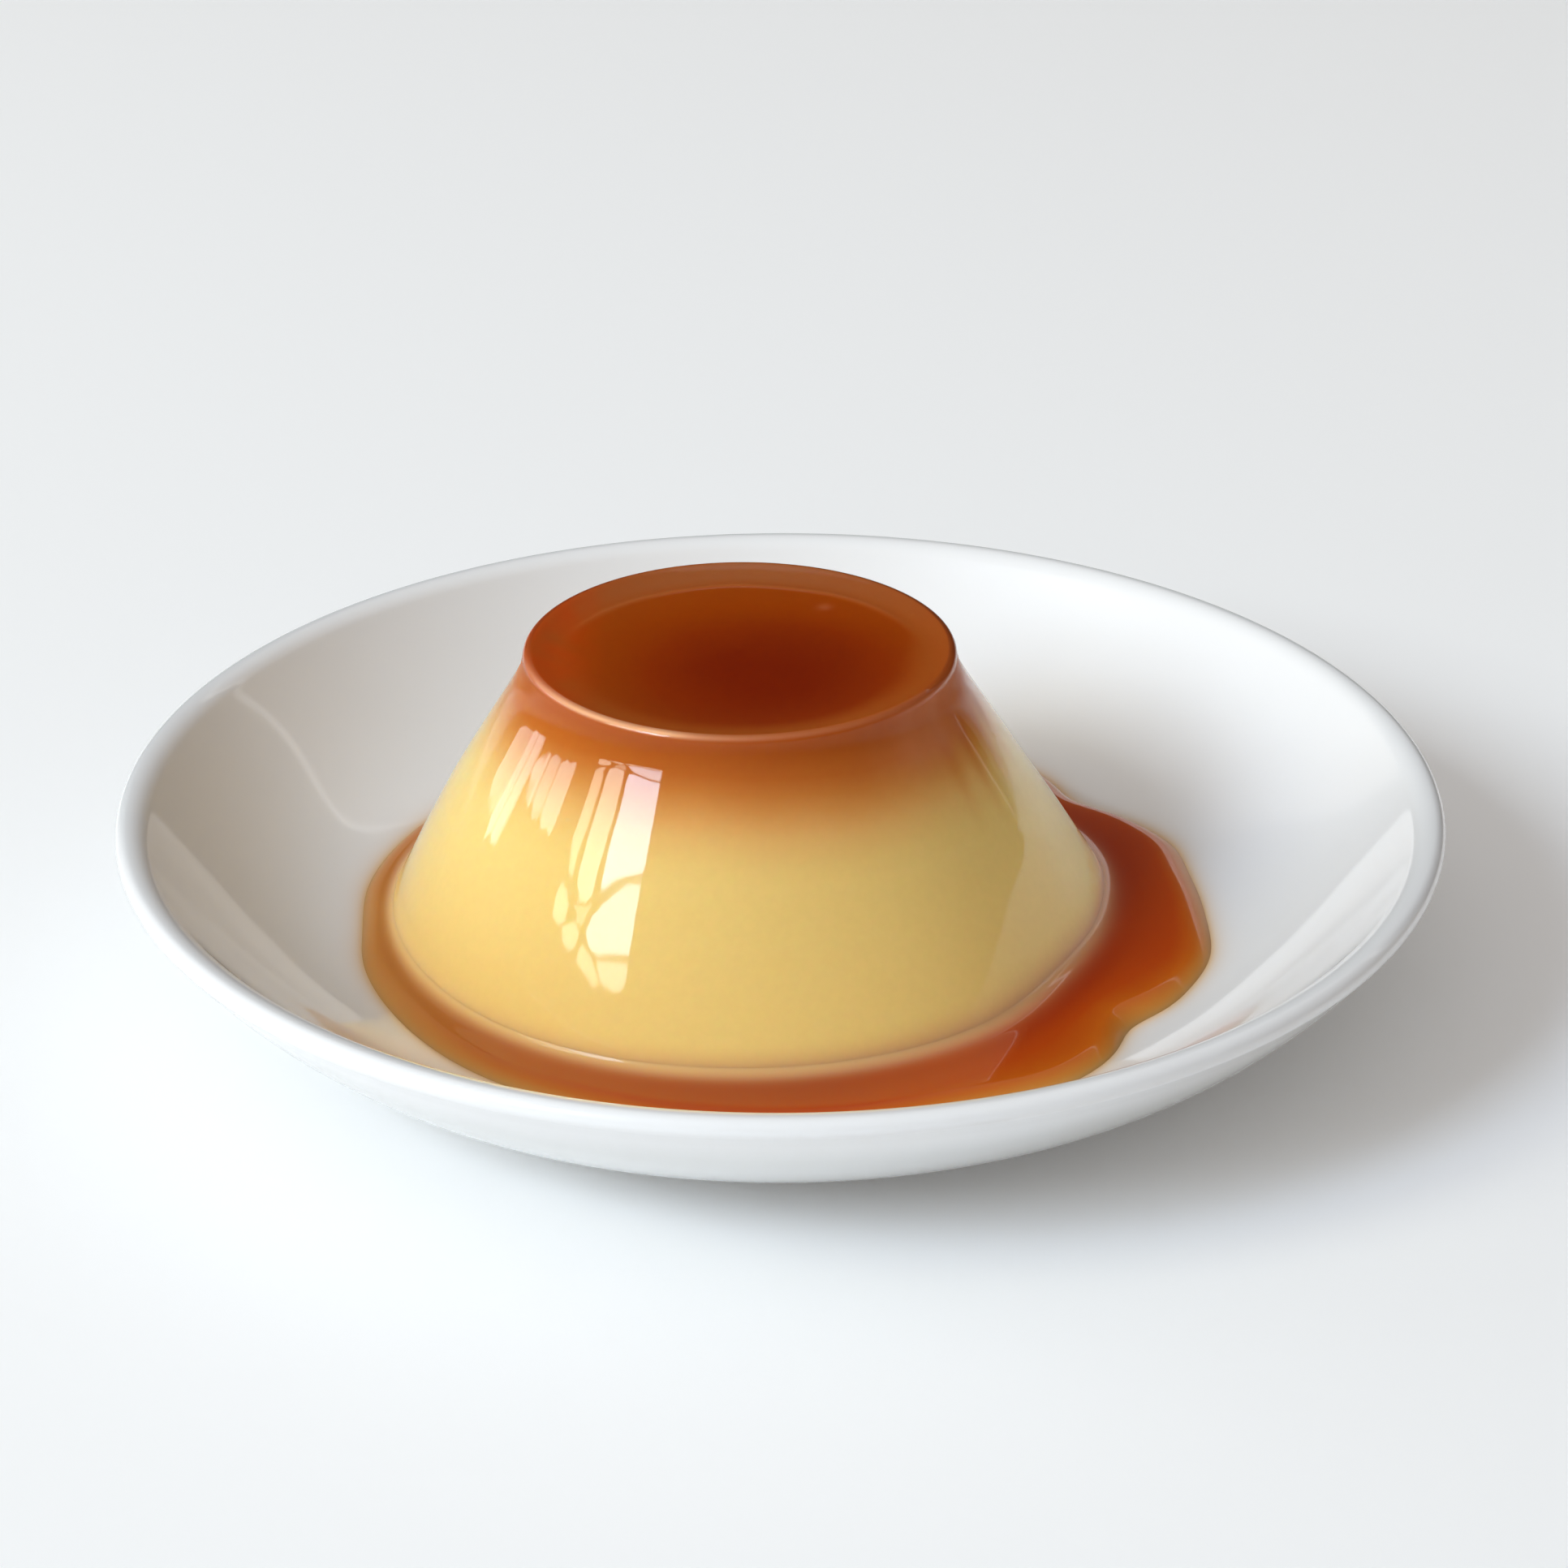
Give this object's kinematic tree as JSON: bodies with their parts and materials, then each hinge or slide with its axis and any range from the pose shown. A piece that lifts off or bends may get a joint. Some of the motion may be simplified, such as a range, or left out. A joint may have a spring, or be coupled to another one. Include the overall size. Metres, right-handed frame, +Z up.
{
  "type": "caramel pudding on a dish",
  "caption": "Turned-out caramel pudding: a tapered custard with a dark caramel top, standing in a pool of caramel sauce on a shallow white dish with a rounded lip.",
  "frame": {"origin": "centre of the dish's foot, on the surface that it stands on", "axes": "+Z up; the picture's viewer looks along +Y, with +X to the viewer's right"},
  "size_m": [0.1498, 0.15, 0.0405],
  "materials": {
    "glazed_dish": "white clear-glazed porcelain, smooth and glossy",
    "custard": "moist, slightly translucent yellow egg custard with a soft gloss",
    "caramel": "wet, glossy red-brown caramel that fades into the custard below it",
    "sauce": "clear, glossy red-brown caramel syrup, amber where it is thin"
  },
  "bodies": {
    "root": {"plate": "glazed_dish", "custard": "custard", "caramel_layer": "caramel", "caramel_sauce": "sauce"}
  },
  "joints": []
}
